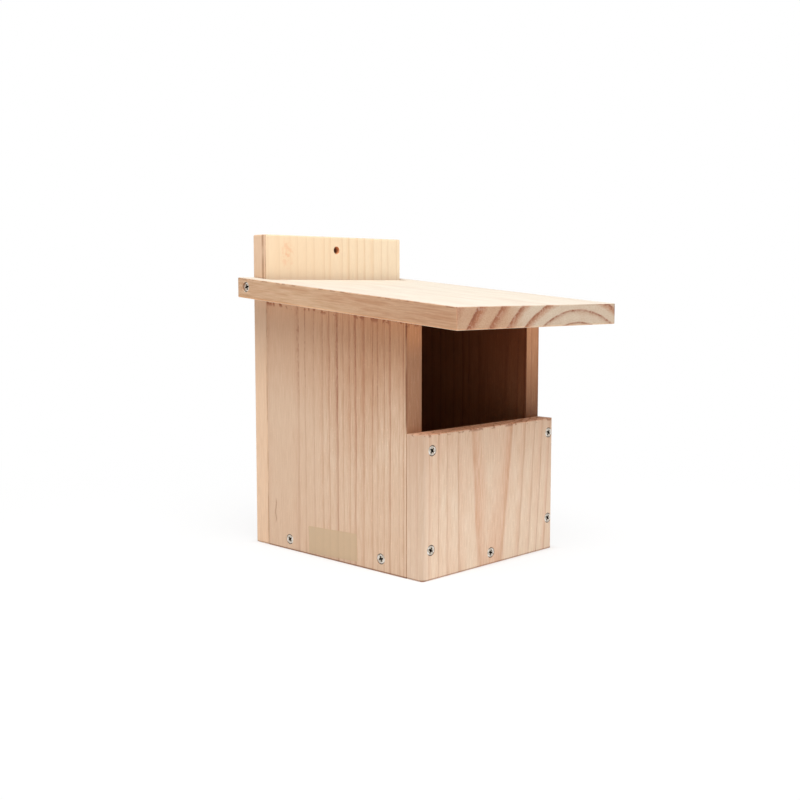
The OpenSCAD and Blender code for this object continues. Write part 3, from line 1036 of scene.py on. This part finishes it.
def cut(mesh, cutters):
    """The mesh with each cutter taken out of it."""
    block = bpy.data.objects.new("screw_blank", mesh)
    for thing in [block, *cutters]:
        bpy.context.scene.collection.objects.link(thing)
    for cutter in cutters:
        boolean = block.modifiers.new(cutter.name, "BOOLEAN")
        boolean.operation = "DIFFERENCE"
        boolean.solver = "EXACT"
        boolean.object = cutter
    view = block.evaluated_get(bpy.context.evaluated_depsgraph_get())
    done = bpy.data.meshes.new_from_object(view)
    for thing in [block, *cutters]:
        bpy.data.objects.remove(thing)
    return done


cutters = [tapered_cutter("blade_" + str(turn), (CROSS_SPAN, CROSS_WIDE), BLADE_FOOT, math.radians(turn))
           for turn in (0, 90)]
cutters.append(tapered_cutter("pit", PIT_TOP, PIT_FOOT, math.radians(45)))
screw_mesh = cut(screw_body(), cutters)
screw_mesh.name = "wood_screw_with_cross"
screw_mesh.shade_smooth()
screw_mesh.set_sharp_from_angle(angle=math.radians(38))
print("finished screw:", len(screw_mesh.polygons), "faces")

# %% [markdown]
# Bright zinc is a metal that is smooth but cloudy, and its colour is warmed by a painted reflection of
# the wood round it. The foot of the cross is painted dark: painted shade in the recess. The face
# shows the rings of the heading tool. Both follow the screw's own axis. The rim has painted dark
# reflections at its upper and lower sides, whichever way the screw is turned.

# %% Zinc plating
# The plating is zinc grey warmed by a painted reflection of the wood round it
ZINC_DULL = (0.42, 0.37, 0.305, 1)
ZINC_BRIGHT = (0.68, 0.605, 0.515, 1)
ZINC_WORN = (0.86, 0.82, 0.77, 1)
ZINC_RIM_REFLECTION = (0.14, 0.11, 0.085, 1)
CROSS_SHADE = (0.025, 0.016, 0.012, 1)
ZINC_HEIGHT = 0.0002

zinc, shader = start_material("bright zinc")
place = add_node("TexCoord").outputs["Object"]
from_axis = vector_calc("LENGTH", vector_calc("MULTIPLY", place, (1000, 1000, 0)))
cloud = noise(place, 700.0, 3.0)
plating = mix_colour(cloud, ZINC_DULL, ZINC_BRIGHT)
worn = times(remap(from_axis, 2.3, 2.8), remap(noise(place, 320.0, 1.0), 0.42, 0.58))
plating = mix_colour(worn, plating, ZINC_WORN)
# Painted dark reflections on the rim's upper and lower sides
upward = add_node("VectorTransform", {0: place}, convert_from="OBJECT", convert_to="WORLD").outputs[0]
height = calc("ABSOLUTE", times(split(upward)[2], 1000.0))
steep = remap(calc("DIVIDE", height, from_axis), 0.55, 0.90, 0.15, 1.0)
plating = mix_colour(times(remap(from_axis, 2.95, 3.35), steep), plating, ZINC_RIM_REFLECTION)
# Painted shade at the foot of the cross
sunk = remap(times(split(place)[2], 1000.0), -0.20, -0.02, 1.0, 0.0)
in_cross = times(sunk, remap(from_axis, 2.35, 2.55, 1.0, 0.0))
plug(shader.inputs["Base Color"], mix_colour(in_cross, plating, CROSS_SHADE))
plug(shader.inputs["Roughness"], remap(cloud, 0.3, 0.7, 0.24, 0.42))
add_bumps(shader, noise_along(times(from_axis, 6.0)), 0.25, ZINC_HEIGHT)
shader.inputs["Metallic"].default_value = 1.0
screw_mesh.materials.clear()
screw_mesh.materials.append(zinc)
print("zinc:", len(zinc.node_tree.nodes), "nodes")

# %% [markdown]
# A screw's name says which board it goes through, and so which way it points. Its CAD box then gives
# the axis and the head's face: the box is as long as the screw one way and as wide as the head in
# the other two.

# %% Put every screw in its place
DRIVEN = {"front": TO_WALL, "back": TO_FRONT, "left": TO_RIGHT, "right": TO_LEFT}
hand = random.Random(12)


def place_screw(name):
    """A finished screw in place of the CAD node of that name."""
    side = name.removeprefix("pivot_screw_").split("_")[0]
    way = Vector(DRIVEN[side])
    low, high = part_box(name)
    centre = (low + high) / 2
    screw = bpy.data.objects.new(name + "_finished", screw_mesh)
    screw.location = centre - way * SCREW_LONG / 2
    upright = (-way).to_track_quat("Z", "Y").to_matrix()
    screw.rotation_euler = (upright @ Matrix.Rotation(hand.uniform(0, math.pi / 2), 3, "Z")).to_euler()
    bpy.context.scene.collection.objects.link(screw)
    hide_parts(name)
    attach(screw, "box")
    return screw


screws = [place_screw(name) for name in sorted(nodes) if "screw" in name]
print("screws placed:", len(screws))

# %% [markdown]
# ## Studio
# The box stands on a pale floor in soft light that comes mostly from above, so the roof is bright and
# shades the walls under it, and the floor throws light back up at the walls. The floor and the
# surroundings are white to the camera and to polished metal, by a Light Path node, so the background
# stays white without more light on the box.


# %% Light that only the camera and polished metal see
def seen_directly():
    """1 for rays from the camera or off polished metal and glass, and 0 for other light."""
    path = add_node("LightPath").outputs
    direct = calc("MAXIMUM", path["Is Camera Ray"], path["Is Glossy Ray"])
    return calc("MAXIMUM", direct, path["Is Transmission Ray"])


print("studio helper ready")

# %% [markdown]
# The floor glows white far from the box and less near it, so that the soft shadow shows at its foot.
# It glows least within a few millimetres of the boards, where the contact makes a fine dark line.
# Its lower side is clear, and under the boards it glows up at them, so that the box can be looked at
# from below too. It lies a hair below them, and its middle stands to one side, so that the seam
# between its two triangles doesn't run under the box.

# %% Floor
FLOOR_SIZE = 8.0
HAIR = 0.0001
ASIDE = 1.0
NEAR_GLOW = (0.15, 0.60, 0.82, 1.0)
CONTACT = (0.0, 0.008, 0.45, 1.0)
UNDER_GLOW = (-0.002, -0.0005, 0.7, 0.0)
bpy.ops.mesh.primitive_plane_add(size=FLOOR_SIZE, location=(ASIDE, 0, cad_low.z - HAIR))
floor = bpy.context.object
floor.name = "studio_floor"
material, shader = start_material("white floor")
shader.inputs["Base Color"].default_value = (0.90, 0.90, 0.90, 1)
shader.inputs["Roughness"].default_value = 0.8
glow = add_node("Emission", {"Color": (1, 1, 1, 1), "Strength": 1.0})
place = vector_calc("ADD", add_node("TexCoord").outputs["Object"], (ASIDE, 0, 0))
glowing = remap(vector_calc("LENGTH", place), *NEAR_GLOW)
foot = Vector((back_high.x, (back_high.y - front_low.y) / 2, 0))
from_middle = vector_calc("SUBTRACT", place, (0, (back_high.y + front_low.y) / 2, 0))
beyond = vector_calc("SUBTRACT", vector_calc("ABSOLUTE", from_middle), foot)
from_foot = calc("MAXIMUM", *split(beyond)[:2])
glowing = times(glowing, remap(from_foot, *CONTACT))
under = remap(from_foot, *UNDER_GLOW)
share = remap(seen_directly(), 0.0, 1.0, under, glowing, smooth=False)
upper = add_node("MixShader", {0: share, 1: shader.outputs[0], 2: glow.outputs[0]})
clear = add_node("BsdfTransparent")
behind = add_node("NewGeometry").outputs["Backfacing"]
two_sided = add_node("MixShader", {0: behind, 1: upper.outputs[0], 2: clear.outputs[0]})
plug(material.node_tree.nodes["Material Output"].inputs[0], two_sided.outputs[0])
floor.data.materials.append(material)
print("floor:", FLOOR_SIZE, "m across")

# %% World
world = bpy.data.worlds.new("studio")
world.use_nodes = True
bpy.context.scene.world = world
Making.tree = world.node_tree
backdrop = Making.tree.nodes["Background"]
backdrop.inputs["Color"].default_value = (1, 1, 1, 1)
AMBIENT = 0.38
plug(backdrop.inputs["Strength"], remap(seen_directly(), 0.0, 1.0, AMBIENT, 1.0, smooth=False))
print("ambient light:", AMBIENT)

# %% [markdown]
# One large lamp stands high in front and to the left. Its size against its distance sets how soft
# the shadow under the roof is.


# %% Lamp
def soft_lamp(name, turn, height, distance, size, watts):
    """A square soft box that the camera doesn't see, at that turn from the front and height, in degrees."""
    data = bpy.data.lights.new(name, "AREA")
    data.size = size
    data.energy = watts
    lamp = bpy.data.objects.new(name, data)
    turn, height = math.radians(turn), math.radians(height)
    away = Vector((-math.sin(turn) * math.cos(height), -math.cos(turn) * math.cos(height), math.sin(height)))
    lamp.location = (cad_low + cad_high) / 2 + distance * away
    lamp.rotation_euler = away.to_track_quat("Z", "Y").to_euler()
    lamp.visible_camera = False
    bpy.context.scene.collection.objects.link(lamp)
    return lamp


key_lamp = soft_lamp("key_lamp", turn=35, height=66, distance=1.8, size=1.4, watts=40)
print("key lamp stands", round(key_lamp.location.z, 2), "m up")
